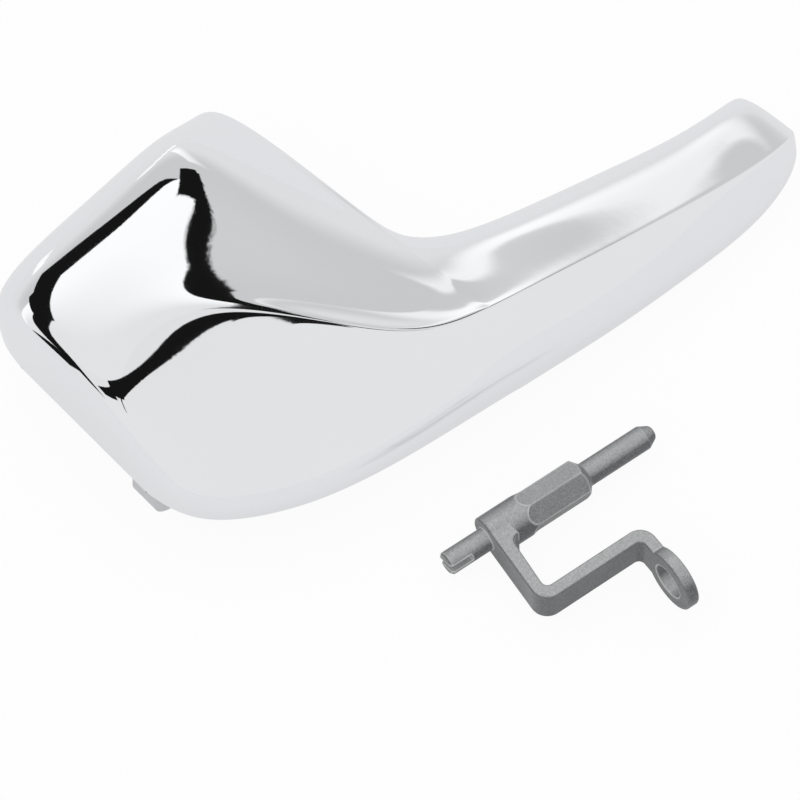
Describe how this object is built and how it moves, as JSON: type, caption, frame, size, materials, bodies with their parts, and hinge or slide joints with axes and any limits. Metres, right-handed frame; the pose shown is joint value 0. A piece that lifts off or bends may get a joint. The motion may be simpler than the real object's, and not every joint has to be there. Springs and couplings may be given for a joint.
{
  "type": "car interior door handle",
  "caption": "Chrome-plated hollow pull lever with a rounded pad and a tapering grip bar, laid beside its die-cast pivot crank with a keyed shaft, stepped strap and cable eye.",
  "frame": {"origin": "on the lever's pivot axis, at the middle of the narrow pivot ear", "axes": "+Y along the pivot axis from the wide ear to the narrow one, +X towards the tip of the grip bar, +Z out of the show side; the pair lies on a floor at z = -4.8 mm"},
  "size_m": [0.1126, 0.1075, 0.0242],
  "materials": {
    "chrome_plate": "polished",
    "cast_zinc": "satin"
  },
  "bodies": {
    "root": {"handle_lever": "chrome_plate", "pivot_crank": "cast_zinc"}
  },
  "joints": []
}
